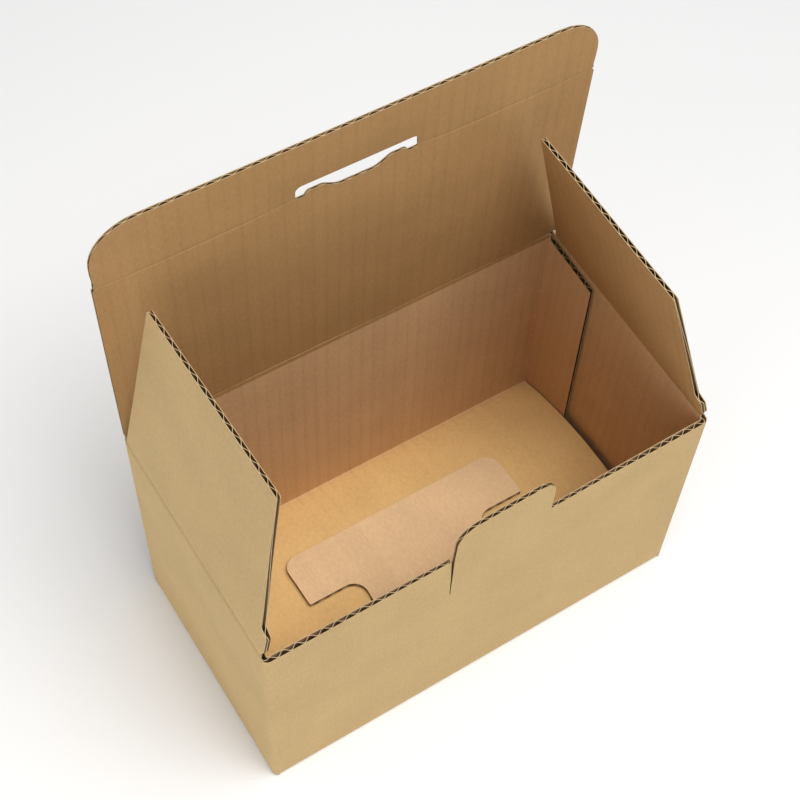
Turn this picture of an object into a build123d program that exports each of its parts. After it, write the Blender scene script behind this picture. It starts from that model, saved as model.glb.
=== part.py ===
from build123d import *
import math
import os

# An open corrugated carton, folded from one die-cut sheet. The origin is on
# the table under the middle of the box, +X along its length, -Y to the front
# wall with the lock tab, +Z up. All sizes are in millimetres.

# Board
board = 3.0
liner = 0.32
corner_bend = 1.8
bottom_bend = 1.8
fold_foot = 4.0

# Flutes, as they show at an open cut edge: one hollow for each half wave, its
# mouth against a liner and its floor towards the other liner
flute_pitch = 6.45
flute_mouth = 4.8
flute_floor = 1.2
flute_floor_inset = 0.33
flute_depth = 7.0
flute_margin = 2.9

# Box, outside
box_length = 236.0
box_depth = 128.0
rim_height = 139.7
side_crease_rise = 1.8
lid_crease_rise = 5.1

# Creases: both panels thin out towards the fold line and part just there
crease_reach = 2.8
crease_pinch = 0.15
crease_gap = 0.25

# Lock tab on the front wall, slit down one side so that it springs outwards
tab_width = 53.0
tab_height = 26.5
tab_offset = 1.5
tab_corner = 9.0
slit_length = 34.0
slit_width = 0.8

# Glue flap, inside the right wall
glue_flap_width = 37.0
glue_flap_drop = 1.1
glue_flap_top_slant = 1.4
glue_flap_bottom = 10.0
glue_flap_bottom_slant = 8.0
seam_setback = 0.4

# Lid and tuck flap
lid_side_gap = 0.5
lid_shortfall = 6.5
lid_lean = 3.0
tuck_side_gap = 3.2
tuck_waist_inset = 0.8
tuck_waist_height = 2.5
tuck_shoulder_height = 8.0
tuck_shoulder_corner = 3.0
tuck_depth = 34.3
tuck_corner = 20.0
tuck_lean = 1.0

# Lock slot across the fold between them
slot_length = 57.5
slot_height = 7.0
slot_corner = 3.0
slot_lip = 1.8
slot_hook = 4.5
slot_hook_depth = 1.0
slot_hook_corner = 0.6
slot_lip_corner = 1.2
finger_notch = 28.0
finger_notch_depth = 1.6
finger_notch_corner = 1.5

# Side flaps: setbacks from the front and back faces, heights over the crease
left_flap_lean = 7.0
right_flap_lean = 17.5
flap_shortfall = 6.0
flap_corner = 3.0
flap_front_setback = 4.0
flap_foot_height = 1.6
flap_ear_setback = 1.8
flap_ear_low = 6.5
flap_ear_high = 18.4
flap_ear_corner = 2.0
flap_shoulder_setback = 6.3
flap_shoulder_height = 21.2
flap_tip_front_setback = 10.0
flap_tip_back_setback = 21.0
flap_back_setback = 3.7
flap_back_flare = 0.7
flap_back_foot = 5.0

# Snap-lock bottom, not pressed flat: the back leaf is bowed upwards, and the
# front leaf rises through its notch and lies on it with a tongue. Lengths that
# end in _in are measured inwards from the front face.
bow_top_in = 52.0
bow_top_height = 26.3
bow_back_height = 8.7
back_leaf_in = 33.0
back_leaf_left_gap = 3.8
back_leaf_right_gap = 6.6
back_leaf_corner = 8.0
notch_in = 52.0
notch_margin = 3.5
notch_corner = 3.0
leaf_gap = 0.3
ramp_top_in = 48.0
tongue_near_in = 59.5
tongue_far_in = 88.5
tongue_wing = 28.5
tongue_corner = 8.0
tongue_near_corner = 1.0
neck_width = 70.0
neck_corner = 7.0
apron_side_gap = 5.0
apron_shoulder_gap = 32.0
apron_hip_in = 10.0
apron_shoulder_in = 31.0
apron_corner = 5.0
side_leaf_shortfall = 56.0
side_leaf_slope = 12.5
side_leaf_gap = 1.0
side_leaf_tip_in = 33.0
side_leaf_back_gap = 7.0
side_leaf_corner = 6.0

# Worked out from the sizes above
half_board = board / 2
half_length = box_length / 2
half_depth = box_depth / 2
front_face = -half_depth
wall_x = half_length - half_board
wall_y = half_depth - half_board
inner_x = half_length - board
inner_y = half_depth - board
fold_radius = bottom_bend + half_board
side_crease_height = rim_height + side_crease_rise
lid_crease_height = rim_height + lid_crease_rise
above_all = 2 * lid_crease_height
glue_flap_top = rim_height - glue_flap_drop
lid_width = box_length - 2 * lid_side_gap
lid_depth = box_depth - lid_shortfall
tuck_width = box_length - 2 * tuck_side_gap
flap_height = lid_depth - flap_shortfall
flap_tip_back = box_depth - flap_tip_back_setback
flap_back = box_depth - flap_back_setback
flap_outline = [
    (flap_front_setback, 0),
    (flap_front_setback, flap_foot_height),
    (flap_ear_setback, flap_ear_low, flap_corner),
    (flap_ear_setback, flap_ear_high, flap_ear_corner),
    (flap_shoulder_setback, flap_shoulder_height, flap_ear_corner),
    (flap_tip_front_setback, flap_height, flap_corner),
    (flap_tip_back, flap_height, flap_corner),
    (flap_back - flap_back_flare, flap_back_foot),
    (flap_back, 0),
]
bow_top_y = front_face + bow_top_in
bow_span = half_depth - bow_top_y
bow_rise = bow_top_height - bow_back_height
bow_radius = (bow_span**2 + bow_rise**2) / (2 * bow_rise)
bow_centre = bow_top_height - bow_radius
back_leaf_front = front_face + back_leaf_in
notch_y = front_face + notch_in
ramp_top_y = front_face + ramp_top_in
tongue_near_y = front_face + tongue_near_in
tongue_far_y = front_face + tongue_far_in
tongue_width = neck_width + 2 * tongue_wing
apron_width = box_length - 2 * apron_side_gap
apron_shoulder_width = box_length - 2 * apron_shoulder_gap
apron_hip_y = front_face + apron_hip_in
apron_shoulder_y = front_face + apron_shoulder_in
side_leaf_reach = half_length - side_leaf_shortfall
side_leaf_tip = half_depth - side_leaf_tip_in


def outline(plane, corners):
    """A face from corners (a, b), or (a, b, radius) where the corner is rounded."""
    starts, ends, arcs = [], [], []
    for i, corner in enumerate(corners):
        point = Vector(*corner[:2])
        radius = corner[2] if len(corner) > 2 else 0
        if not radius:
            starts.append(point)
            ends.append(point)
            continue
        to_last = (Vector(*corners[i - 1][:2]) - point).normalized()
        to_next = (Vector(*corners[(i + 1) % len(corners)][:2]) - point).normalized()
        half_angle = math.acos(max(-1, min(1, to_last.dot(to_next)))) / 2
        reach = radius / math.tan(half_angle)
        inward = (to_last + to_next).normalized()
        middle = point + inward * (radius / math.sin(half_angle) - radius)
        starts.append(point + to_last * reach)
        ends.append(point + to_next * reach)
        arcs.append(ThreePointArc(starts[-1], middle, ends[-1]))
    lines = []
    for i, end in enumerate(ends):
        start = starts[(i + 1) % len(starts)]
        if (start - end).length > 1e-6:
            lines.append(Line(end, start))
    return make_face(plane * Curve(children=[*lines, *arcs]))


def prism(plane, corners, low, high):
    """An outline drawn on a plane, extruded from low to high along its normal."""
    face = outline(plane, corners)
    return extrude(face.moved(Location(plane.z_dir * low)), high - low, dir=plane.z_dir)


def strip(points, bend):
    """The board seen on edge: its outline along a bent centre line."""
    sides = []
    for side in (half_board, -half_board):
        corners = []
        for i, point in enumerate(points):
            before = points[max(i - 1, 0)]
            after = points[min(i + 1, len(points) - 1)]
            back = (Vector(*point) - Vector(*before)) or (Vector(*after) - Vector(*point))
            ahead = (Vector(*after) - Vector(*point)) or back
            back = back if back.length else ahead
            ahead = ahead if ahead.length else back
            first = Vector(-back.Y, back.X).normalized()
            second = Vector(-ahead.Y, ahead.X).normalized()
            shift = (first + second) * (side / (1 + first.dot(second)))
            turn = first.X * second.Y - first.Y * second.X
            radius = 0 if abs(turn) < 0.01 else bend + (half_board if turn * side < 0 else -half_board)
            corners.append((point[0] + shift.X, point[1] + shift.Y, radius))
        sides.append(corners)
    return sides[0] + sides[1][::-1]


def bow(radius_low, radius_high, start, end):
    """The outline, seen along X, of a bowed leaf between two radii."""

    def arc(radius, first, last):
        middle = (first + last) / 2
        heights = [
            (y, bow_centre + math.sqrt(radius**2 - (y - bow_top_y) ** 2))
            for y in (first, middle, last)
        ]
        return ThreePointArc(*heights), heights

    upper, top = arc(radius_high, start, end)
    lower, bottom = arc(radius_low, end, start)
    ends = [Line(top[2], bottom[0]), Line(bottom[2], top[0])]
    return make_face([upper, ends[0], lower, ends[1]])


def along_x(face, low, high):
    """Extrudes a face drawn as (y, z) between two x positions."""
    return extrude((Plane.YZ * face).moved(Location((low, 0, 0))), high - low, dir=(1, 0, 0))


def section(depth, far_crease):
    """A panel's section from its fold line on: (height, thickness) outline."""
    near = [(crease_gap, -crease_pinch), (crease_reach, -half_board)]
    far = [(depth, -half_board)]
    if far_crease:
        far = [(depth - crease_reach, -half_board), (depth - crease_gap, -crease_pinch)]
    lower = near + far
    return lower + [(height, -across) for height, across in reversed(lower)]


def side_flap():
    """A side flap standing upright, in the plane of the left wall."""
    blank = prism(Plane.YZ, flap_outline, -half_board, half_board)
    profile = prism(Plane.XZ, [(a, h) for h, a in section(flap_height, False)], -box_depth, 0)
    tip = Plane(origin=(0, 0, flap_height), x_dir=(0, 1, 0), z_dir=(0, 0, 1))
    flap = (blank & profile) - flutes(tip, flap_tip_front_setback + flap_corner, flap_tip_back - flap_corner)
    return flap.moved(Location((-wall_x, -box_depth / 2, side_crease_height)))


def wall_tip(plane, height, low, high):
    """The thinned upper end of a wall under a crease."""
    corners = [
        (-half_board, height - crease_reach),
        (half_board, height - crease_reach),
        (crease_pinch, height - crease_gap),
        (-crease_pinch, height - crease_gap),
    ]
    return prism(plane, corners, low, high)


def plan(corners):
    """An upright prism over a plan outline, to trim a leaf of the bottom with."""
    return prism(Plane.XY, corners, -board, bow_top_height + 2 * board)


def mirrored(corners):
    """A closed outline from its right half."""
    return corners + [(-corner[0], *corner[1:]) for corner in reversed(corners)]


def wall_strip():
    """The four walls and the glue flap: one strip folded at the four corners."""
    line = [
        (inner_x - half_board, wall_y - glue_flap_width),
        (inner_x - half_board, wall_y),
        (-wall_x, wall_y),
        (-wall_x, -wall_y),
        (wall_x, -wall_y),
        (wall_x, 0),
    ]
    seam = [(wall_x, -1), (wall_x, box_depth / 2 - seam_setback)]
    top = lid_crease_height - crease_reach
    walls = prism(Plane.XY, strip(line, corner_bend), 0, top)
    walls += prism(Plane.XY, strip(seam, corner_bend), 0, top)
    # The side walls end where their creases begin, the front wall at its rim
    side_top = side_crease_height - crease_reach
    rim_end = front_face + flap_outline[0][0]
    crease_end = front_face + flap_outline[-1][0] + 0.3
    walls -= prism(
        Plane.YZ,
        [(rim_end, side_top), (crease_end, side_top), (crease_end, above_all), (rim_end, above_all)],
        -box_length,
        box_length,
    )
    walls -= prism(
        Plane.YZ,
        [(-box_depth, rim_height), (rim_end, rim_height), (rim_end, above_all), (-box_depth, above_all)],
        -box_length,
        box_length,
    )
    # The glue flap's slanting top and foot
    edge = wall_y - glue_flap_width - 1
    top = [(edge, glue_flap_top - glue_flap_top_slant), (inner_y, glue_flap_top)]
    foot = [(edge, glue_flap_bottom + glue_flap_bottom_slant), (inner_y - 0.5, glue_flap_bottom)]
    for line, end in ((top, side_top + 1), (foot, -1)):
        corners = line + [(line[1][0], end), (line[0][0], end)]
        walls -= prism(Plane.YZ, corners, inner_x - board, inner_x)
    return walls


def hull(outer):
    """Rounds the bottom edges of the walls, and trims the back wall along its leaf."""
    sides = [
        (-box_length / 2, 0, fold_radius),
        (box_length / 2, 0, fold_radius),
        (box_length / 2, above_all),
        (-box_length / 2, above_all),
    ]
    step = inner_y - 0.5
    ends = [
        (front_face, 0, fold_radius),
        (step, 0),
        (step, bow_height(bow_radius - board, step)),
        (-front_face, bow_height(bow_radius - board, -front_face), fold_radius),
        (-front_face, above_all),
        (front_face, above_all),
    ]
    across = prism(Plane.XZ, sides, -box_depth, box_depth)
    return outer & across & prism(Plane.YZ, ends, -box_length, box_length)


def bow_height(radius, y):
    """Height at y of a surface on the common centre of the bowed bottom."""
    return bow_centre + math.sqrt(radius**2 - (y - bow_top_y) ** 2)


def front_tab():
    """The lock tab, standing in the plane of the front wall."""
    left = tab_offset - tab_width / 2
    right = tab_offset + tab_width / 2
    top = rim_height + tab_height
    corners = [
        (left, rim_height - 5),
        (right, rim_height - 5),
        (right, top, tab_corner),
        (left, top, tab_corner),
    ]
    return prism(Plane.XZ, corners, inner_y, -front_face)


def flutes(plane, start, end):
    """The hollows between flutes and liners along a cut edge, seen from above it."""
    mouth = half_board - liner
    half_wave = flute_pitch / 2
    count = int((end - start - 2 * flute_margin) / half_wave) + 1
    first = (start + end - (count - 1) * half_wave) / 2
    hollows = []
    for i in range(count):
        across = first + i * half_wave
        side = 1 if i % 2 else -1
        corners = [
            (across - flute_mouth / 2, side * mouth),
            (across + flute_mouth / 2, side * mouth),
            (across + flute_floor / 2, side * (flute_floor_inset - mouth)),
            (across - flute_floor / 2, side * (flute_floor_inset - mouth)),
        ]
        hollows.append(prism(plane, corners, -flute_depth, 1))
    return hollows


def tab_slit():
    """The cut beside the tab, down into the front wall."""
    left = tab_offset - tab_width / 2
    size = (slit_width, 3 * board, slit_length + 5)
    return Pos(left - slit_width / 2, -wall_y, rim_height + 5 - size[2] / 2) * Box(*size)


def wall_flutes():
    """The flutes along the front rim, over the lock tab and along the glue flap's top."""
    left = tab_offset - tab_width / 2
    right = tab_offset + tab_width / 2
    end = inner_x - corner_bend
    rim = Plane(origin=(0, -wall_y, rim_height))
    tab = rim.offset(tab_height)
    seam = Plane(origin=(inner_x - half_board, 0, glue_flap_top), x_dir=(0, 1, 0), z_dir=(0, 0, 1))
    hollows = flutes(rim, -end, left - slit_width) + flutes(rim, right, end)
    hollows += flutes(tab, left + tab_corner, right - tab_corner)
    return hollows + flutes(seam, wall_y - glue_flap_width, inner_y - corner_bend)


def back_leaf():
    """The bowed leaf, with the notch that the front leaf rises through."""
    half_notch = neck_width / 2 + notch_margin
    left = back_leaf_left_gap - half_length
    right = half_length - back_leaf_right_gap
    corners = [
        (left, half_depth + board),
        (left, back_leaf_front, back_leaf_corner),
        (-half_notch, back_leaf_front, notch_corner),
        (-half_notch, notch_y, neck_corner),
        (half_notch, notch_y, neck_corner),
        (half_notch, back_leaf_front, notch_corner),
        (right, back_leaf_front, back_leaf_corner),
        (right, half_depth + board),
    ]
    profile = bow(bow_radius - board, bow_radius, back_leaf_front - 1, -front_face)
    return along_x(profile, -box_length / 2, box_length / 2) & plan(corners)


def front_leaf():
    """The leaf that slopes up from the front wall and ends in the tongue."""
    low = bow_radius + leaf_gap
    foot = [(-wall_y, bow_top_height), (-wall_y, half_board), (-wall_y + fold_foot, half_board)]
    crest = (ramp_top_y, bow_height(low + half_board, ramp_top_y))
    ramp = outline(Plane.XY, strip([*foot, crest], bottom_bend))
    profile = ramp + bow(low, low + board, ramp_top_y, tongue_far_y)
    corners = mirrored(
        [
            (apron_width / 2, front_face - board),
            (apron_width / 2, apron_hip_y, apron_corner),
            (apron_shoulder_width / 2, apron_shoulder_y, apron_corner),
            (neck_width / 2, apron_shoulder_y, neck_corner),
            (neck_width / 2, tongue_near_y, neck_corner),
            (tongue_width / 2, tongue_near_y, tongue_near_corner),
            (tongue_width / 2, tongue_far_y, tongue_corner),
        ]
    )
    return along_x(profile, -box_length / 2, box_length / 2) & plan(corners)


def side_leaf(side):
    """One of the two leaves folded in from the side walls, under the bowed one."""
    rise = (side_leaf_reach - fold_foot) * math.tan(math.radians(side_leaf_slope))
    foot = [(-wall_x, bow_top_height), (-wall_x, half_board), (-wall_x + fold_foot, half_board)]
    line = [*foot, (-wall_x + side_leaf_reach, half_board + rise)]
    tip = -wall_x + side_leaf_reach - 1
    hip = -apron_shoulder_width / 2 + side_leaf_gap
    corners = [
        (-half_length - board, half_depth - side_leaf_back_gap),
        (-half_length - board, apron_hip_y + side_leaf_gap),
        (-apron_width / 2 - side_leaf_gap, apron_hip_y + side_leaf_gap),
        (hip, -side_leaf_tip),
        (tip, -side_leaf_tip, side_leaf_corner),
        (tip, side_leaf_tip, side_leaf_corner),
    ]
    leaf = prism(Plane.XZ, strip(line, bottom_bend), -box_depth, box_depth) & plan(corners)
    return leaf if side < 0 else leaf.rotate(Axis.Z, 180).mirror(Plane.XZ)


def upright(height, far_crease, width):
    """A blank panel standing on its fold line, centred on the origin."""
    profile = [(across, up) for up, across in section(height, far_crease)]
    return prism(Plane.YZ, profile, -width / 2, width / 2)


def cutter(corners):
    """A prism through the thickness of an upright panel, from (x, height) corners."""
    return prism(Plane.XZ, corners, -board, board)


def lean_lid(panel):
    """Takes a panel standing on the lid's fold line to its place behind the box."""
    return panel.rotate(Axis.X, lid_lean).moved(Location((0, wall_y, lid_crease_height)))


def lid():
    """The lid, with the lips and the finger notch of the lock slot in its far edge."""
    end = slot_length / 2 - 0.2
    hook = slot_length / 2 - slot_hook
    notch = finger_notch / 2
    low = lid_depth - slot_hook_depth
    high = lid_depth + slot_lip
    bottom = lid_depth - finger_notch_depth
    edge = mirrored(
        [
            (end, lid_depth - 10),
            (end, low),
            (hook, low, slot_hook_corner),
            (hook, high, slot_lip_corner),
            (notch, high, finger_notch_corner),
            (notch, bottom, finger_notch_corner),
        ]
    )
    window = [(-end, low - 6), (end, low - 6), (end, high + 5), (-end, high + 5)]
    middle = prism(Plane.XZ, edge, -half_board, half_board)
    return lean_lid(upright(lid_depth, True, lid_width) - cutter(window) + middle)


def tuck_flap():
    """The tuck flap on the far edge of the lid, with the upper part of the lock slot."""
    corners = mirrored(
        [
            (tuck_width / 2 - tuck_waist_inset, 0),
            (tuck_width / 2 - tuck_waist_inset, tuck_waist_height),
            (tuck_width / 2, tuck_shoulder_height, tuck_shoulder_corner),
            (tuck_width / 2, tuck_depth, tuck_corner),
        ]
    )
    half = slot_length / 2
    slot = [(half, -5), (half, slot_height, slot_corner), (-half, slot_height, slot_corner), (-half, -5)]
    flap = (upright(tuck_depth, False, tuck_width) & cutter(corners)) - cutter(slot)
    return lean_lid(flap.rotate(Axis.X, tuck_lean).moved(Location((0, 0, lid_depth))))


def leaning_flap(side, lean):
    """A side flap at its rest angle, leaning in over the box."""
    hinge = Axis((-wall_x, 0, side_crease_height), (0, 1, 0))
    flap = side_flap().rotate(hinge, lean)
    return flap if side < 0 else flap.mirror(Plane.YZ)


def carton():
    """Walls, glue flap, lock tab and bottom leaves: all that is fixed in one piece."""
    body = hull(wall_strip())
    crease = (front_face + flap_outline[0][0], front_face + flap_outline[-1][0])
    for x in (-wall_x, wall_x):
        plane = Plane(origin=(x, 0, 0), x_dir=(1, 0, 0), z_dir=(0, -1, 0))
        body += wall_tip(plane, side_crease_height, -crease[1], -crease[0])
    plane = Plane(origin=(0, wall_y, 0), x_dir=(0, 1, 0), z_dir=(1, 0, 0))
    body += wall_tip(plane, lid_crease_height, -lid_width / 2, lid_width / 2)
    body += front_tab()
    body -= tab_slit()
    body += hull(back_leaf())
    body += front_leaf()
    for side in (-1, 1):
        body += side_leaf(side)
    return body - wall_flutes()


pieces = {
    "carton_body": carton(),
    "left_side_flap": leaning_flap(-1, left_flap_lean),
    "right_side_flap": leaning_flap(1, right_flap_lean),
    "lid_panel": lid(),
    "tuck_flap": tuck_flap(),
}
os.makedirs("parts", exist_ok=True)
for name, piece in pieces.items():
    solids = piece.solids()
    if len(solids) != 1:
        raise ValueError(f"{name} is {len(solids)} solids")
    export_step(solids[0], f"parts/{name}.step")
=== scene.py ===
import math

import bmesh
import bpy
from bpy.props import FloatProperty, FloatVectorProperty, PointerProperty
from mathutils import Matrix, Vector, noise


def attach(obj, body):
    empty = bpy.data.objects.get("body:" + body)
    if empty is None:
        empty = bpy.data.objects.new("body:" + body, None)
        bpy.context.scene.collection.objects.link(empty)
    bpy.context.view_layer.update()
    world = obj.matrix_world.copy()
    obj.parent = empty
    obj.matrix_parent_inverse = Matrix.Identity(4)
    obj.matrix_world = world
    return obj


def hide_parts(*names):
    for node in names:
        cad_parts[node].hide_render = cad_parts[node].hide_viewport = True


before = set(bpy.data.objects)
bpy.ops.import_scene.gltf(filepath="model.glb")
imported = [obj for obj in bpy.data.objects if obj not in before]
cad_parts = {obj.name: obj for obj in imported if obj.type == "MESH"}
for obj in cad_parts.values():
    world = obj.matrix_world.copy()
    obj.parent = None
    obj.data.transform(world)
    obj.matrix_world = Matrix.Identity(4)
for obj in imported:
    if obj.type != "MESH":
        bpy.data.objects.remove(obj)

bl_info = {
    "name": "Corrugated Carton",
    "version": (1, 0, 0),
    "blender": (4, 5, 0),
    "location": "View3D > Sidebar > Carton",
    "description": "Builds an open corrugated carton, with its flutes, around its packed solids",
    "category": "Add Mesh",
}

# Sizes below are in millimetres until a piece is finished. A blank is drawn flat
# as (along the wall, up the wall), with the thickness of the board as its third
# coordinate, and is then folded to its place.
MM = 0.001

# Outer sizes of the box, heights of its rim and creases, and the fold at a corner
LENGTH = 236.0
DEPTH = 128.0
RIM = 139.7
SIDE_CREASE = 141.5
LID_CREASE = 144.8
FOLD_RADIUS = 1.8

# The board, and the two papers it is made of
BOARD = 3.0
HALF = BOARD / 2
LINER = 0.35
MEDIUM = 0.42

# Lid and flaps: leans in degrees from upright
LID_DEPTH = 121.5
LID_LEAN = 3.0
LID_RACK = 0.02
LID_HALF = 117.5
TUCK_DEPTH = 34.3
TUCK_LEAN = 1.0
TUCK_PRESS = 0.42
SLOT_HALF = 28.55
TUCK_SLOT_HALF = 28.75
LEFT_LEAN = 7.0
LEFT_TWIST = 0.7
RIGHT_LEAN = 17.5
FLAP_PRESS = 0.3
FLAP_REACH = 40

# Lock tab, as x on the front wall, and the slit down its left side
SLIT_LEFT = -24.7
TAB_LEFT = -24.0
TAB_RIGHT = 28.0
SLIT_FOOT = 107.3

# Bottom leaves: the bow of the back one as (y, z) of its top, and the side ones
FOOT = 4.0
BOW_RADIUS = 172.89
BOW_TOP = (-12.0, 26.3)
SIDE_LEAF_RUN = 58.0
SIDE_LEAF_SLOPE = 12.5

# Steps that a panel is cut into, so that it can bend, and the sharpest smooth edge
PANEL_STEP = 12.0
WAVE_STEPS = 12
SMOOTH_ANGLE = 0.6

# The camera fitted to the photograph, in metres: its place, its right and its down
EYE = Vector((-0.232325, -0.321259, 0.803899))
RIGHT = Vector((0.828776, -0.552014, 0.091713))
DOWN = Vector((-0.439255, -0.743307, -0.504528))
SHIFT = (-0.1533, 0.0531)

# Order of the papers on each mesh
OUTER, INNER, CORE, EDGE = range(4)


def share(value):
    """A value kept between none and all."""
    return min(1.0, max(0.0, value))


def rounded(corners):
    """Points of a closed outline, from corners (a, b) or (a, b, radius)."""
    points = []
    for i, corner in enumerate(corners):
        point = Vector(corner[:2])
        radius = corner[2] if len(corner) > 2 else 0
        if not radius:
            points.append(point)
            continue
        back = (Vector(corners[i - 1][:2]) - point).normalized()
        ahead = (Vector(corners[(i + 1) % len(corners)][:2]) - point).normalized()
        half = back.angle(ahead) / 2
        centre = point + (back + ahead).normalized() * (radius / math.sin(half))
        start = point + back * (radius / math.tan(half)) - centre
        turn = math.pi - 2 * half
        if back.x * ahead.y - back.y * ahead.x > 0:
            turn = -turn
        steps = max(2, math.ceil(abs(turn) / math.radians(12)))
        for k in range(steps + 1):
            points.append(centre + Matrix.Rotation(turn * k / steps, 2) @ start)
    return points


class Line:
    """A bent centre line, walked by length: straight runs joined by arcs."""

    def __init__(self, corners):
        self.parts = []
        points = [Vector(corner[:2]) for corner in corners]
        here = points[0]
        for i in range(1, len(points)):
            ahead = (points[i] - here).normalized()
            if i == len(points) - 1:
                self.parts.append((here, ahead, (points[i] - here).length, 0.0))
                continue
            onward = (points[i + 1] - points[i]).normalized()
            turn = math.atan2(ahead.x * onward.y - ahead.y * onward.x, ahead.dot(onward))
            radius = corners[i][2]
            reach = radius * math.tan(abs(turn) / 2)
            self.parts.append((here, ahead, (points[i] - here).length - reach, 0.0))
            start = points[i] - ahead * reach
            self.parts.append((start, ahead, radius * abs(turn), math.copysign(1 / radius, turn)))
            here = points[i] + onward * reach
        self.length = sum(part[2] for part in self.parts)

    def starts(self):
        """Where each part begins, with the end of the last, and whether it is bent."""
        total, marks = 0.0, []
        for _, _, length, bend in self.parts:
            marks.append((total, length, bend != 0))
            total += length
        return marks

    def at(self, length):
        """The point at a length, and the direction to its right."""
        for i, (start, ahead, span, bend) in enumerate(self.parts):
            if length <= span or i == len(self.parts) - 1:
                break
            length -= span
        if bend:
            turned = Matrix.Rotation(length * bend, 2) @ ahead
            left = Vector((-ahead.y, ahead.x))
            centre = start + left / bend
            point = centre + Matrix.Rotation(length * bend, 2) @ (start - centre)
            ahead = turned
        else:
            point = start + ahead * length
        return point, Vector((ahead.y, -ahead.x))


def flat_layer(outline, across, along, low, high):
    """One flat layer of the board: its outline, cut into strips, given a thickness."""
    bm = bmesh.new()
    points = rounded(outline)
    verts = []
    for i, point in enumerate(points):
        if (point - points[i - 1]).length > 1e-4:
            verts.append(bm.verts.new((point.x, point.y, low)))
    bm.faces.new(verts)
    for cuts, axis in ((across, 0), (along, 1)):
        normal = Vector((1, 0, 0)) if axis == 0 else Vector((0, 1, 0))
        for cut in cuts:
            geometry = bm.verts[:] + bm.edges[:] + bm.faces[:]
            bmesh.ops.bisect_plane(
                bm, geom=geometry, dist=1e-4, plane_co=normal * cut, plane_no=normal
            )
    bmesh.ops.triangulate(bm, faces=[face for face in bm.faces if len(face.verts) > 4])
    grown = bmesh.ops.extrude_face_region(bm, geom=bm.faces[:])
    raised = [item for item in grown["geom"] if isinstance(item, bmesh.types.BMVert)]
    bmesh.ops.translate(bm, verts=raised, vec=(0, 0, high - low))
    bmesh.ops.recalc_face_normals(bm, faces=bm.faces[:])
    return bm


def board(name, outline, folds, place, crease, body, nodes, bends=(), origin=(0.0, 0.0)):
    """A panel of corrugated board: two liners and the fluted medium between them.

    The outline is cut at the heights in folds and the lengths in bends. Then place
    folds each point, crease tells how far it is from the nearest crease, and origin
    is where the panel sits on the flat sheet.
    """
    pitch = carton().flute_pitch / MM
    lengths = [point.x for point in rounded(outline)]
    low, span = min(lengths), max(lengths) - min(lengths)
    waves = [
        low + pitch * k / WAVE_STEPS for k in range(1, int(span / pitch * WAVE_STEPS) + 1)
    ]
    plain = [low + PANEL_STEP * k for k in range(1, int(span / PANEL_STEP) + 1)]
    strips = sorted(plain + list(bends))
    swing = HALF - LINER - MEDIUM / 2
    whole = bmesh.new()
    layers = (
        (HALF - LINER, HALF, strips, OUTER),
        (-HALF, -HALF + LINER, strips, INNER),
        (-MEDIUM / 2, MEDIUM / 2, waves, CORE),
    )
    for bottom, top, across, finish in layers:
        bm = flat_layer(outline, across, folds, bottom, top)
        uv = bm.loops.layers.uv.new("sheet")
        for face in bm.faces:
            flat = abs(face.normal.z) > 0.5
            face.material_index = finish if flat else EDGE
            face.smooth = True
            for loop in face.loops:
                s, up, _ = loop.vert.co
                loop[uv].uv = ((s + origin[0]) * MM, (up + origin[1]) * MM)
        for edge in bm.edges:
            edge.smooth = edge.calc_face_angle(0) < SMOOTH_ANGLE
        for vert in bm.verts:
            if finish == CORE:
                vert.co.z += swing * math.sin(2 * math.pi * (vert.co.x + origin[0]) / pitch)
            s, up, deep = vert.co
            away = crease(s, up)
            deep *= crushed(away, 1.6, 0.15) if deep > 0 else crushed(away, 0.35, 0.7)
            vert.co = place(s, up, deep)
        part = bpy.data.meshes.new(name)
        bm.to_mesh(part)
        bm.free()
        whole.from_mesh(part)
        bpy.data.meshes.remove(part)
    for vert in whole.verts:
        vert.co *= MM
    mesh = bpy.data.meshes.new(name)
    whole.to_mesh(mesh)
    whole.free()
    piece = bpy.data.objects.new(name, mesh)
    bpy.context.collection.objects.link(piece)
    for finish in finishes():
        mesh.materials.append(finish)
    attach(piece, body)
    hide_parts(*nodes)


def carton():
    """The settings of the carton."""
    return bpy.context.scene.carton


def crushed(distance, reach, least):
    """How thick the board is left, of one, at a distance from a crease."""
    return least + (1 - least) * share(distance / reach)


def bow_corners(radius, start, end, steps):
    """Corners of a line that follows the bowed bottom, from one y to another."""
    centre_y, centre_z = BOW_TOP[0], BOW_TOP[1] - BOW_RADIUS
    first = math.asin((start - centre_y) / radius)
    last = math.asin((end - centre_y) / radius)
    step = (last - first) / steps
    reach = radius / math.cos(step / 2)
    corners = []
    for k in range(steps):
        angle = first + step * (k + 0.5)
        y, z = centre_y + reach * math.sin(angle), centre_z + reach * math.cos(angle)
        corners.append((y, z, radius))
    corners.append((end, centre_z + radius * math.cos(last)))
    return corners


def tangent_height(radius, at_y, y):
    """Height at y of the bow's tangent line that touches it at at_y."""
    angle = math.asin((at_y - BOW_TOP[0]) / radius)
    return BOW_TOP[1] - BOW_RADIUS + radius * math.cos(angle) - (y - at_y) * math.tan(angle)


# Plan of the walls, along the middle of the board, from the glue flap's free edge
# round to the right wall's. MARKS are the lengths at which its corners start and end.
WALL_X, WALL_Y = LENGTH / 2 - HALF, DEPTH / 2 - HALF
GLUE_FLAP_X = WALL_X - BOARD
WALLS = Line(
    [
        (GLUE_FLAP_X, 25.5),
        (GLUE_FLAP_X, WALL_Y, FOLD_RADIUS),
        (-WALL_X, WALL_Y, FOLD_RADIUS),
        (-WALL_X, -WALL_Y, FOLD_RADIUS),
        (WALL_X, -WALL_Y, FOLD_RADIUS),
        (WALL_X, DEPTH / 2 - 0.4),
    ]
)
MARKS = [mark[0] for mark in WALLS.starts()] + [WALLS.length]


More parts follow.
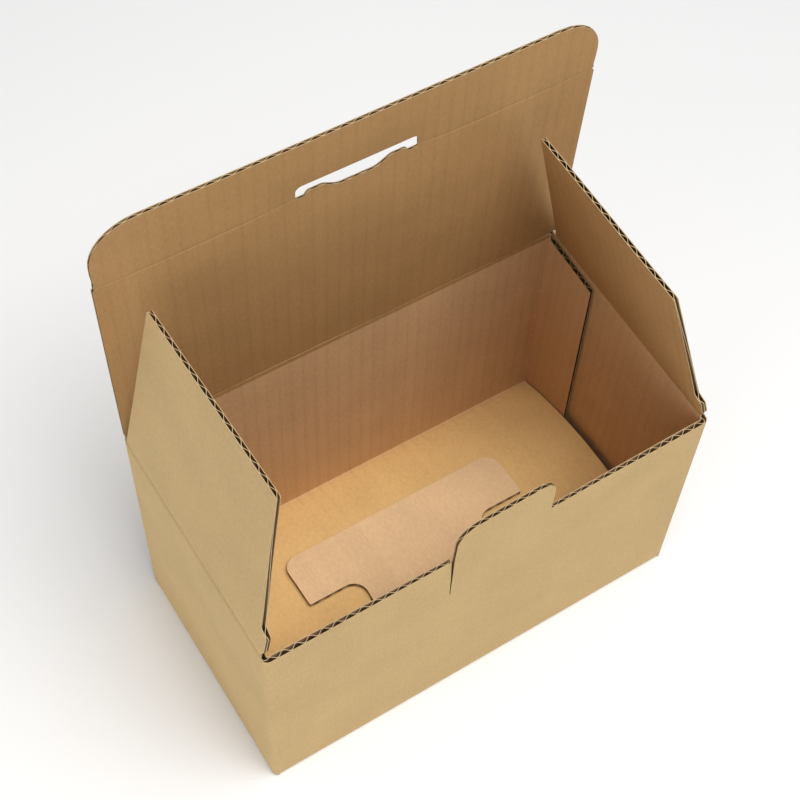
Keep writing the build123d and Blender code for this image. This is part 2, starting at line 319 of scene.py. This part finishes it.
def back_wall(x):
    """The length along the walls of a point on the back wall."""
    return MARKS[2] + GLUE_FLAP_X - FOLD_RADIUS - x


def left_wall(y):
    """The length along the walls of a point on the left wall."""
    return MARKS[4] + WALL_Y - FOLD_RADIUS - y


def front_wall(x):
    """The length along the walls of a point on the front wall."""
    return MARKS[6] + x + WALL_X - FOLD_RADIUS


def right_wall(y):
    """The length along the walls of a point on the right wall."""
    return MARKS[8] + y + WALL_Y - FOLD_RADIUS


# Centre lines of the bottom leaves, as (distance in from the wall, height). Each
# starts some way up its wall. The tongue bends over the notch at (y, z) TONGUE_BEND.
START_UP = 60.0
SIDE_RISE = SIDE_LEAF_RUN * math.tan(math.radians(SIDE_LEAF_SLOPE))
HEEL = [(0, START_UP), (0, HALF, FOLD_RADIUS), (FOOT, HALF, FOLD_RADIUS)]
SIDE_LEAF = Line(HEEL + [(FOOT + SIDE_LEAF_RUN, HALF + SIDE_RISE)])
TONGUE_RADIUS = BOW_RADIUS + 1.8
TONGUE_NEAR, TONGUE_FAR = -10, 24.5
TONGUE_BEND = (-16.0, tangent_height(TONGUE_RADIUS, TONGUE_NEAR, -16))
TONGUE_BOW = bow_corners(TONGUE_RADIUS, TONGUE_NEAR, TONGUE_FAR, 3)
FRONT_LEAF = Line(
    HEEL
    + [(TONGUE_BEND[0] + WALL_Y, TONGUE_BEND[1], 12.0)]
    + [(c[0] + WALL_Y, *c[1:]) for c in TONGUE_BOW]
)
LEAF_RADIUS = BOW_RADIUS - HALF
LEAF_BACK, LEAF_FRONT = 58, -31
LEAF_BOW = bow_corners(LEAF_RADIUS, LEAF_BACK, LEAF_FRONT, 6)
BACK_LEAF = Line(
    [(0, START_UP), (0, tangent_height(LEAF_RADIUS, LEAF_BACK, WALL_Y), FOLD_RADIUS)]
    + [(WALL_Y - c[0], *c[1:]) for c in LEAF_BOW]
)


def up_at(leaf, inward):
    """The height on the flat blank of a point that far in from the wall."""
    low, high = START_UP - 8.0, leaf.length
    for _ in range(40):
        middle = (low + high) / 2
        if leaf.at(middle)[0].x < inward:
            low = middle
        else:
            high = middle
    return START_UP - low


def leaf_of(s):
    """The leaf under the wall at s, or none at a corner fold."""
    for low, high, leaf in (
        (MARKS[2], MARKS[3], BACK_LEAF),
        (MARKS[4], MARKS[5], SIDE_LEAF),
        (MARKS[6], MARKS[7], FRONT_LEAF),
        (MARKS[8], MARKS[9], SIDE_LEAF),
    ):
        if low <= s <= high:
            return leaf
    return None


def warp(s, up, seed):
    """The slight unevenness of a panel of board."""
    return 0.35 * noise.noise(Vector((s / 75, up / 60, seed)))


def front_shape(x, up, deep):
    """Bulges the front wall, presses its rim by the tab and springs the tab forward."""
    bulge, bulge_height, spring_out = 0.9, 150, 1.3
    deep *= 1 - 0.3 * share((up - 128) / 10) * share((100 - abs(x)) / 50)
    rise = math.sin(math.pi * min(up, bulge_height) / bulge_height)
    deep += bulge * math.cos(math.pi * x / LENGTH) * rise
    if up > SLIT_FOOT and x > TAB_LEFT - 0.05:
        spring = ((up - SLIT_FOOT) / 34) ** 1.5
        deep += spring_out * min(spring, 2.0) * share((60 - x) / 85)
    return deep


def place_carton(s, up, deep):
    """Folds the flat blank of walls and bottom leaves into the box."""
    point, outward = WALLS.at(s)
    leaf = leaf_of(s)
    if MARKS[6] < s < MARKS[7] and up > 0:
        deep = front_shape(s - front_wall(0), up, deep)
    if leaf is None or up > START_UP:
        plan = point + outward * deep
        return Vector((plan.x, plan.y, up))
    inward, side = leaf.at(START_UP - up)
    plan = point - outward * (inward.x + side.x * deep)
    return Vector((plan.x, plan.y, inward.y + side.y * deep))


def crease_carton(s, up):
    """How far a point of the walls is from the crease over it."""
    if MARKS[1] < s < MARKS[4]:
        return LID_CREASE - up
    on_left = left_wall(60.4) < s < left_wall(-60.1)
    on_right = right_wall(-60.1) < s < right_wall(60.4)
    if on_left or on_right:
        return SIDE_CREASE - up
    return DEPTH


def carton_outline():
    """The flat blank of walls, glue flap, lock tab and bottom leaves."""
    top = [
        (0, 137.3),
        (MARKS[1] - 0.2, 139.3),
        (MARKS[1] + 0.3, 142.0),
        (MARKS[2], LID_CREASE - 0.2),
        (MARKS[3], LID_CREASE - 0.2),
        (MARKS[4] - 0.5, 142.0),
        (left_wall(60.5), 142.0),
        (left_wall(60.3), SIDE_CREASE - 0.2),
        (left_wall(-60), SIDE_CREASE - 0.2),
        (left_wall(-60.3), RIM),
        (front_wall(SLIT_LEFT), RIM, 0.8),
        (front_wall(-24.5), 108.5),
        (front_wall(-24.25), SLIT_FOOT),
        (front_wall(TAB_LEFT), 108.5),
        (front_wall(TAB_LEFT), 167.6, 10.0),
        (front_wall(TAB_RIGHT), 166.4, 9.0),
        (front_wall(TAB_RIGHT), RIM),
        (right_wall(-60.3), RIM),
        (right_wall(-60), SIDE_CREASE - 0.2),
        (right_wall(60.3), SIDE_CREASE - 0.2),
        (right_wall(60.6), 141.9),
        (MARKS[9] - 0.01, 141.9, 0.8),
    ]
    side, front, back = (lambda d, f=f: up_at(f, d) for f in (SIDE_LEAF, FRONT_LEAF, BACK_LEAF))
    right = [
        (MARKS[9] - 0.01, 1.2),
        (right_wall(57), 1.2),
        (right_wall(31), side(61), 6),
        (right_wall(-31), side(61), 6),
        (right_wall(-31), side(31.5)),
        (right_wall(-53), side(3.2)),
        (right_wall(-53), 1.2),
        (MARKS[7] + 1.4, 0.9),
    ]
    half = [
        (113, 1.2),
        (113, front(8.5), 4),
        (86, front(29.5), 5),
        (35, front(29.5), 7),
        (35, front(58), 8),
        (63.5, front(58), 1),
        (63.5, front(87), 8),
    ]
    tongue = [(front_wall(c[0]), *c[1:]) for c in half]
    tongue += [(front_wall(-c[0]), *c[1:]) for c in reversed(half)]
    left = [
        (MARKS[6] - 1.4, 0.9),
        (left_wall(-53), 1.2),
        (left_wall(-53), side(3.2)),
        (left_wall(-31), side(31.5)),
        (left_wall(-31), side(61), 6),
        (left_wall(31), side(61), 6),
        (left_wall(57), 1.2),
        (MARKS[4], 1.2),
        (MARKS[3], 8.6),
    ]
    bowed = [
        (back_wall(-114.2), 8.6),
        (back_wall(-114.2), back(93.5), 8),
        (back_wall(-36), back(93.5), 3),
        (back_wall(-36), back(74.5), 7),
        (back_wall(36), back(74.5), 7),
        (back_wall(36), back(93.5), 3),
        (back_wall(111.4), back(93.5), 8),
        (back_wall(111.4), 8.6),
    ]
    return top + right + tongue + left + bowed + [(MARKS[1], 9.5), (0, 17.5)]


def carton_folds():
    """Heights on the flat blank where it is cut so that it can bend."""
    cuts = [crease - d for crease in (LID_CREASE, SIDE_CREASE) for d in (0.35, 0.6, 1.6)]
    cuts += [135, 125, 110, 90, 70, 50, 30, 12]
    for leaf in (SIDE_LEAF, FRONT_LEAF, BACK_LEAF):
        for start, length, bent in leaf.starts():
            if bent:
                steps = 4 if length < 10 else 3
                cuts += [START_UP - start - length * k / steps for k in range(steps + 1)]
    return sorted(set(round(cut, 3) for cut in cuts))


def lean_over(hinge, lean, up, deep):
    """A point of a panel that leans from its hinge: (inward, height)."""
    angle = math.radians(lean)
    inward = hinge[0] + up * math.sin(angle) - deep * math.cos(angle)
    return inward, hinge[1] + up * math.cos(angle) + deep * math.sin(angle)


def worn(s, up):
    """How thick the lid is left, of one: thinner at its ends and beside the slot."""
    least, reach = 0.6, 24.0
    ends = least + (1 - least) * share((LID_HALF - abs(s)) / reach)
    near = share((46 - abs(s)) / 12) * share((1 - abs(up - LID_DEPTH) / 18) * 1.3)
    return ends * (1 - 0.6 * near)


def place_on_lid(s, up, deep, foot, lean, done):
    """A point of a panel of the lid, at a height above done, the lid below it."""
    seed = 3.1
    inward, height = lean_over(foot, lean, up, deep + warp(s, done + up, seed))
    return Vector((-s - LID_RACK * (done + up), WALL_Y - inward, height))


def place_lid(s, up, deep):
    """Stands the lid on the back wall."""
    return place_on_lid(s, up, deep * worn(s, up), (0, LID_CREASE), LID_LEAN, 0)


def place_tuck(s, up, deep):
    """Stands the tuck flap on the lid."""
    deep *= worn(s, LID_DEPTH + up) * (1 - TUCK_PRESS * share(up / TUCK_DEPTH))
    foot = lean_over((0, LID_CREASE), LID_LEAN, LID_DEPTH, 0)
    return place_on_lid(s, up, deep, foot, LID_LEAN + TUCK_LEAN, LID_DEPTH)


def lean_flap(s, up, deep, lean, seed):
    """A point of a side flap, which the die pressed thinner towards its tip."""
    far = share(up / FLAP_REACH)
    deep *= 1 - FLAP_PRESS * far
    return lean_over((0, SIDE_CREASE), lean, up, deep + warp(s, up, seed) * far)


def place_left_flap(s, up, deep):
    """Leans the left side flap in over the box, a little twisted."""
    lean = LEFT_LEAN + LEFT_TWIST * (1 + s / (0.5 * DEPTH))
    inward, height = lean_flap(s, up, deep, lean, 5.7)
    return Vector((-WALL_X + inward, -s - DEPTH / 2, height))


def place_right_flap(s, up, deep):
    """Leans the right side flap in over the box."""
    inward, height = lean_flap(s, up, deep, RIGHT_LEAN, 8.3)
    return Vector((WALL_X - inward, s - DEPTH / 2, height))


def kraft(name, colour, rough, grain, streaks, leaves=()):
    """Kraft paper: fibres, cloudy tone and the faint print of the flutes beneath.

    grain and streaks are the strengths of the fibres and of the flutes. The leaves
    are lighter copies of the colour for the bottom leaf, the tongue and the walls:
    painted light, for how the light falls on them, with the tongue a little pinker.
    """
    material = bpy.data.materials.new(name)
    material.use_nodes = True
    nodes, links = material.node_tree.nodes, material.node_tree.links
    shader = nodes["Principled BSDF"]
    shader.inputs["Roughness"].default_value = rough
    shader.inputs["Specular IOR Level"].default_value = 0.2
    sheet = nodes.new("ShaderNodeUVMap")
    sheet.uv_map = "sheet"
    scale = nodes.new("ShaderNodeMapping")
    scale.inputs["Scale"].default_value = (1000, 1000, 1000)
    links.new(sheet.outputs["UV"], scale.inputs["Vector"])

    def feed(socket, value):
        """Sets an input to a number or a colour, or links an output to it."""
        if isinstance(value, bpy.types.NodeSocket):
            links.new(value, socket)
        elif isinstance(value, (int, float)):
            socket.default_value = value
        else:
            socket.default_value = (*value, 1.0)

    def spots(size, detail, stretch=(1, 1, 1)):
        """Noise on the flat sheet, in millimetres."""
        fit = nodes.new("ShaderNodeMapping")
        fit.inputs["Scale"].default_value = stretch
        texture = nodes.new("ShaderNodeTexNoise")
        texture.inputs["Scale"].default_value = size
        texture.inputs["Detail"].default_value = detail
        links.new(scale.outputs["Vector"], fit.inputs["Vector"])
        links.new(fit.outputs["Vector"], texture.inputs["Vector"])
        return texture.outputs["Fac"]

    def combine(operation, *values):
        """A sum of outputs and numbers."""
        node = nodes.new("ShaderNodeMath")
        node.operation = operation
        for socket, value in zip(node.inputs, values):
            feed(socket, value)
        return node.outputs["Value"]

    def mix(factor, first, second, blend="MIX"):
        """A colour made of two."""
        node = nodes.new("ShaderNodeMix")
        node.data_type = "RGBA"
        node.blend_type = blend
        for key, value in (("Factor", factor), ("A", first), ("B", second)):
            feed(node.inputs[key], value)
        return node.outputs["Result"]

    clouds = spots(0.03, 3.0)
    fibres = spots(0.9, 4.0, (1.0, 0.35, 1.0))
    specks = spots(2.6, 2.0)
    lines = spots(0.16, 2.0, (1.0, 0.02, 1.0))
    flutes = nodes.new("ShaderNodeTexWave")
    flutes.inputs["Scale"].default_value = 2 * math.pi / (20 * carton().flute_pitch / MM)
    flutes.inputs["Distortion"].default_value = 0.6
    flutes.inputs["Detail Scale"].default_value = 0.2
    links.new(scale.outputs["Vector"], flutes.inputs["Vector"])
    ridges = combine("POWER", flutes.outputs["Fac"], 6.0)
    faint = combine("MULTIPLY", ridges, spots(0.05, 3.0, (1.0, 0.4, 1.0)))
    paper = colour
    if leaves:
        # Painted light: below the creases the inner liner takes lighter copies of its colour for
        # the bottom leaf, the tongue and the walls
        floor, tongue, walls = leaves
        axes = nodes.new("ShaderNodeSeparateXYZ")
        links.new(scale.outputs["Vector"], axes.inputs["Vector"])
        along, up = axes.outputs["X"], axes.outputs["Y"]
        # The flutes print less on the bottom leaves
        above = combine("GREATER_THAN", up, 0.0)
        faint = combine("MULTIPLY", faint, combine("MULTIPLY_ADD", above, 0.85, 0.15))
        # The tongue's side of the sheet starts where the left wall ends
        bottom = mix(combine("GREATER_THAN", along, MARKS[5]), floor, tongue)
        upright = mix(combine("GREATER_THAN", up, SIDE_CREASE), walls, colour)
        below = nodes.new("ShaderNodeMapRange")
        below.interpolation_type = "SMOOTHSTEP"
        below.inputs["From Min"].default_value = 12.0
        below.inputs["From Max"].default_value = 2.0
        links.new(up, below.inputs["Value"])
        paper = mix(below.outputs["Result"], upright, bottom)
    tone = combine("MULTIPLY_ADD", clouds, 0.22 * grain, 1 - 0.11 * grain)
    for texture, strength in (
        (fibres, 0.30 * grain),
        (specks, 0.16 * grain),
        (lines, 0.12 * streaks),
    ):
        tone = combine("MULTIPLY_ADD", combine("SUBTRACT", texture, 0.5), strength, tone)
    tone = combine("MULTIPLY_ADD", faint, -0.1 * streaks, tone)
    links.new(mix(1.0, paper, tone, "MULTIPLY"), shader.inputs["Base Color"])
    rough_fibres = combine("MULTIPLY", fibres, 0.6)
    bump = nodes.new("ShaderNodeBump")
    bump.inputs["Strength"].default_value = 0.5
    bump.inputs["Distance"].default_value = 0.00012
    feed(
        bump.inputs["Height"],
        combine("MULTIPLY_ADD", flutes.outputs["Fac"], 0.15 * streaks, rough_fibres),
    )
    links.new(bump.outputs["Normal"], shader.inputs["Normal"])


def finishes():
    """The four papers, in the order of the names above, made when first asked for."""
    if "outer_liner" not in bpy.data.materials:
        papers = carton()
        kraft("outer_liner", papers.outer_colour, 0.78, 1.0, 0.25)
        # Painted light: the bottom leaf, tongue and walls get lighter copies of the inner liner
        leaves = (papers.floor_painted_light_colour, papers.tongue_painted_light_colour, papers.walls_painted_light_colour)
        kraft("inner_liner", papers.inner_colour, 0.8, 1.0, 1.0, leaves)
        # The medium is darker than its paper: painted shade in the hollows of the flutes, seen at
        # the cut edges
        kraft("fluted_medium", papers.medium_colour_and_painted_shade, 0.9, 1.4, 0.0)
        kraft("cut_edge", papers.edge_colour, 0.9, 1.0, 0.0)
    papers = ("outer_liner", "inner_liner", "fluted_medium", "cut_edge")
    return [bpy.data.materials[paper] for paper in papers]


class CartonSettings(bpy.types.PropertyGroup):
    """Sizes and colours of the carton."""

    flute_pitch: FloatProperty(
        name="Flute pitch",
        description="Distance from one flute of the board to the next",
        default=0.00645,
        min=0.004,
        max=0.01,
        unit="LENGTH",
    )
    outer_colour: FloatVectorProperty(
        name="Outer liner",
        description="Colour of the paper on the outside of the box",
        subtype="COLOR",
        size=3,
        min=0,
        max=1,
        default=(0.57, 0.4, 0.187),
    )
    inner_colour: FloatVectorProperty(
        name="Inner liner",
        description="Colour of the paper on the inside of the box",
        subtype="COLOR",
        size=3,
        min=0,
        max=1,
        default=(0.41, 0.235, 0.094),
    )
    # Painted light: the walls' inner liner is a lighter copy of the lid's, for how the light
    # falls inside the box
    walls_painted_light_colour: FloatVectorProperty(
        name="Inside of the walls",
        description="Colour of the inner liner on the walls and the glue flap",
        subtype="COLOR",
        size=3,
        min=0,
        max=1,
        default=(0.6, 0.38, 0.2),
    )
    # Painted light: the bottom leaf is a much lighter, yellower copy of the inner liner, as lit
    # from above
    floor_painted_light_colour: FloatVectorProperty(
        name="Bottom leaf",
        description="Colour of the inner liner on the bowed bottom leaf",
        subtype="COLOR",
        size=3,
        min=0,
        max=1,
        default=(0.78, 0.52, 0.22),
    )
    # Painted light: the tongue is a lighter copy of the inner liner, as lit from above, and a
    # little pinker
    tongue_painted_light_colour: FloatVectorProperty(
        name="Tongue",
        description="Colour of the inner liner on the tongue that locks the bottom",
        subtype="COLOR",
        size=3,
        min=0,
        max=1,
        default=(0.8, 0.57, 0.33),
    )
    # Partly the paper's colour, partly painted shade: darkened so the hollows of the flutes look
    # dark
    medium_colour_and_painted_shade: FloatVectorProperty(
        name="Fluted medium",
        description="Colour of the wavy paper between the liners",
        subtype="COLOR",
        size=3,
        min=0,
        max=1,
        default=(0.16, 0.1, 0.045),
    )
    edge_colour: FloatVectorProperty(
        name="Cut edges",
        description="Colour of the cut edges of the liners",
        subtype="COLOR",
        size=3,
        min=0,
        max=1,
        default=(0.54, 0.39, 0.22),
    )


class StageSettings(bpy.types.PropertyGroup):
    """Floor, lights and lens."""

    key_power: FloatProperty(
        name="Key light",
        description="Power of the large soft light above the box",
        default=18.0,
        min=0,
        unit="POWER",
    )
    fill_power: FloatProperty(
        name="Fill light",
        description="Power of the soft light in front of the box, to its left",
        default=11.5,
        min=0,
        unit="POWER",
    )
    sky: FloatProperty(
        name="Surrounding light",
        description="Strength of the even light from all around",
        default=0.4,
        min=0,
        max=2,
    )
    lens: FloatProperty(
        name="Lens",
        description="Focal length of the camera on a 36 mm wide frame",
        default=76.01,
        min=10,
        unit="CAMERA",
    )


class CARTON_OT_body(bpy.types.Operator):
    """Folds the walls, glue flap, lock tab and bottom leaves from their flat blank"""

    bl_idname = "carton.body"
    bl_label = "Walls and bottom"

    def execute(self, context):
        bends = []
        for start, length, bent in WALLS.starts():
            if bent:
                bends += [start + length * k / 6 for k in range(7)]
        bends += [front_wall(x) for x in (SLIT_LEFT, TAB_LEFT, TAB_RIGHT)]
        board(
            "walls_and_bottom",
            carton_outline(),
            carton_folds(),
            place_carton,
            crease_carton,
            "carton",
            ["carton_body"],
            bends,
        )
        return {"FINISHED"}


class CARTON_OT_side_flaps(bpy.types.Operator):
    """Adds the two side flaps, which lean in over the box from their creases"""

    bl_idname = "carton.side_flaps"
    bl_label = "Side flaps"

    def execute(self, context):
        outline = [
            (4.0, 0.2),
            (4.0, 1.6),
            (1.9, 6.5, 3.0),
            (1.7, 18.4, 2.0),
            (6.3, 21.2, 2.0),
            (10.0, 115.5, 1.5),
            (107.0, 115.5, 1.5),
            (123.6, 5.0),
            (124.3, 0.2),
        ]
        mirrored = [(-corner[0], *corner[1:]) for corner in outline]
        cuts = [0.35, 0.6, 1.6, 8, 20, 35, 50, 65, 80, 95, 108]
        for side, shape, place, start in (
            ("left", mirrored, place_left_flap, left_wall(-DEPTH / 2)),
            ("right", outline, place_right_flap, right_wall(-DEPTH / 2)),
        ):
            board(
                f"{side}_flap_board",
                shape,
                cuts,
                place,
                lambda s, up: up,
                f"{side}_flap",
                [f"{side}_side_flap"],
                origin=(start, SIDE_CREASE),
            )
        return {"FINISHED"}


class CARTON_OT_lid(bpy.types.Operator):
    """Adds the lid and its tuck flap, with the lock slot across the fold between them"""

    bl_idname = "carton.lid"
    bl_label = "Lid and tuck flap"

    def execute(self, context):
        half = [
            (LID_HALF, 0.2),
            (LID_HALF, LID_DEPTH - 0.05, 2.5),
            (SLOT_HALF, LID_DEPTH - 0.05),
            (SLOT_HALF, LID_DEPTH - 1.0),
            (24.25, LID_DEPTH - 1.0, 0.8),
            (23.0, LID_DEPTH + 1.4, 2.0),
            (16.0, LID_DEPTH + 1.4, 4.0),
            (9.0, LID_DEPTH - 2.8, 6.0),
        ]
        shape = half + [(-corner[0], *corner[1:]) for corner in reversed(half)]

        # The fold between lid and tuck flap is pressed less deep than a crease
        shallow = 0.22

        def crease_lid(s, up):
            if abs(s) < 28.5:
                return up
            return min(up, LID_DEPTH - up + shallow)

        board(
            "lid_board",
            shape,
            [0.35, 0.6, 1.6, *range(15, 106, 15), LID_DEPTH - 1.6, LID_DEPTH - 0.35],
            place_lid,
            crease_lid,
            "lid",
            ["lid_panel"],
            (-SLOT_HALF, SLOT_HALF, -28.4, 28.4),
            (back_wall(0), LID_CREASE),
        )
        half = [
            (TUCK_SLOT_HALF, 0.05),
            (117.0, 0.05),
            (116.6, 3.0, 3),
            (116.9, 8.0, 5),
            (116.9, TUCK_DEPTH, 21),
        ]
        slot = [(-TUCK_SLOT_HALF, 7.0, 3), (TUCK_SLOT_HALF, 7.0, 3)]
        shape = half + [(-corner[0], *corner[1:]) for corner in reversed(half)] + slot
        board(
            "tuck_flap_board",
            shape,
            [0.35, 1.6, 10, 20, 30],
            place_tuck,
            lambda s, up: up + shallow,
            "tuck",
            ["tuck_flap"],
            origin=(back_wall(0), LID_CREASE + LID_DEPTH),
        )
        return {"FINISHED"}


class CARTON_OT_stage(bpy.types.Operator):
    """Adds the pale floor, the soft studio light and the camera"""

    bl_idname = "carton.stage"
    bl_label = "Stage"

    def execute(self, context):
        stage = context.scene.carton_stage
        bm = bmesh.new()
        bmesh.ops.create_grid(bm, x_segments=1, y_segments=1, size=6)
        mesh = bpy.data.meshes.new("floor")
        bm.to_mesh(mesh)
        bm.free()
        floor = bpy.data.objects.new("floor", mesh)
        context.collection.objects.link(floor)
        pale = bpy.data.materials.new("pale_floor")
        pale.use_nodes = True
        shader = pale.node_tree.nodes["Principled BSDF"]
        shader.inputs["Base Color"].default_value = (0.93, 0.93, 0.93, 1)
        shader.inputs["Roughness"].default_value = 0.9
        mesh.materials.append(pale)
        self.light(context, "key", (0.12, -0.4, 1.5), 0.9, stage.key_power)
        self.light(context, "fill", (-1.85, -0.85, 0.45), 1.2, stage.fill_power)
        world = bpy.data.worlds.new("studio")
        world.use_nodes = True
        background = world.node_tree.nodes["Background"]
        background.inputs["Color"].default_value = (1, 1, 1, 1)
        background.inputs["Strength"].default_value = stage.sky
        context.scene.world = world
        context.scene.view_settings.view_transform = "Standard"
        data = bpy.data.cameras.new("view")
        data.sensor_width = 36
        data.lens = stage.lens
        data.shift_x, data.shift_y = SHIFT
        camera = bpy.data.objects.new("view", data)
        turn = Matrix((RIGHT, -DOWN, -RIGHT.cross(DOWN))).transposed()
        camera.matrix_world = Matrix.Translation(EYE) @ turn.to_4x4()
        context.collection.objects.link(camera)
        context.scene.camera = camera
        return {"FINISHED"}

    def light(self, context, name, place, size, power):
        """Adds a round soft light that looks at the middle of the box."""
        aim = Vector((0, 0, 0.1)) - Vector(place)
        data = bpy.data.lights.new(name, "AREA")
        data.shape = "DISK"
        data.size = size
        data.energy = power
        lamp = bpy.data.objects.new(name, data)
        lamp.location = place
        lamp.rotation_euler = aim.to_track_quat("-Z", "Y").to_euler()
        context.collection.objects.link(lamp)


class CARTON_PT_panel(bpy.types.Panel):
    """Lists the carton's pieces and settings in the sidebar"""

    bl_label = "Corrugated carton"
    bl_space_type = "VIEW_3D"
    bl_region_type = "UI"
    bl_category = "Carton"

    def draw(self, context):
        for group in (context.scene.carton, context.scene.carton_stage):
            box = self.layout.box()
            for name in group.__annotations__:
                box.prop(group, name)
        for operator in OPERATORS:
            self.layout.operator(operator.bl_idname)


OPERATORS = (CARTON_OT_body, CARTON_OT_side_flaps, CARTON_OT_lid, CARTON_OT_stage)
CLASSES = (CartonSettings, StageSettings, *OPERATORS, CARTON_PT_panel)


def register():
    """Registers the classes and adds their settings to the scene."""
    for cls in CLASSES:
        bpy.utils.register_class(cls)
    bpy.types.Scene.carton = PointerProperty(type=CartonSettings)
    bpy.types.Scene.carton_stage = PointerProperty(type=StageSettings)


def unregister():
    """Takes the settings and the classes away again."""
    del bpy.types.Scene.carton_stage
    del bpy.types.Scene.carton
    for cls in reversed(CLASSES):
        bpy.utils.unregister_class(cls)


def main():
    """Registers the classes and builds every piece."""
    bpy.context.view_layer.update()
    register()
    bpy.ops.carton.body()
    bpy.ops.carton.side_flaps()
    bpy.ops.carton.lid()
    bpy.ops.carton.stage()
    bpy.context.view_layer.update()


if __name__ == "__main__":
    main()
